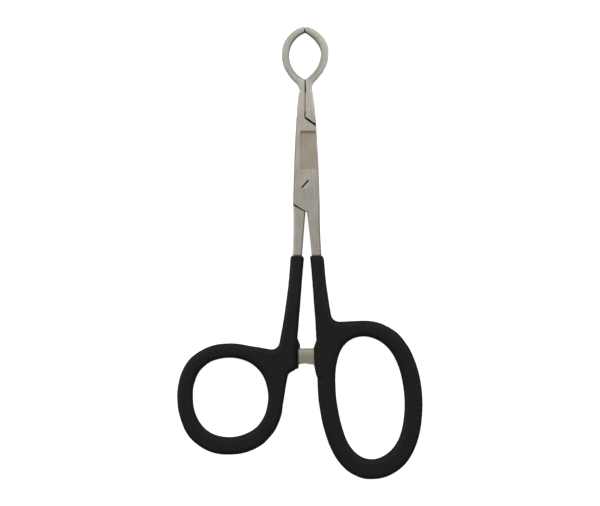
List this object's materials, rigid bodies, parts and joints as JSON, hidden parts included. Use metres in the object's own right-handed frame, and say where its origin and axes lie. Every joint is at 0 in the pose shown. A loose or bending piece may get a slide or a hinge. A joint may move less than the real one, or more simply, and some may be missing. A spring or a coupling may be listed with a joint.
{
  "type": "locking ring forceps",
  "caption": "Locking ring forceps: half-ring jaws that close to a pointed oval, box-lock pivot with slotted screw, ratchet arms and black vinyl-dipped finger loops.",
  "frame": {"origin": "middle of the underside of the closed tool lying flat on its rear face", "axes": "+Y along the tool towards the jaw tips, +X towards the long finger loop, +Z out of the front face with the slotted screw head"},
  "size_m": [0.0822, 0.1512, 0.0049],
  "materials": {
    "satin_steel": "bead-blasted satin",
    "screw_steel": "ground satin",
    "black_vinyl": "dipped, matte with fine mottling"
  },
  "bodies": {
    "box_side": {"box_half": "satin_steel", "pivot_screw": "screw_steel", "finger_grip": "black_vinyl"},
    "tongue_side": {"tongue_half": "satin_steel", "thumb_grip": "black_vinyl"}
  },
  "joints": [
    {"name": "box_lock", "type": "hinge", "parent": "box_side", "child": "tongue_side", "pos_m": [0.00174, 0.02319, 0.00245], "axis": [0, 0, -1], "range_deg": [0, 45]}
  ]
}
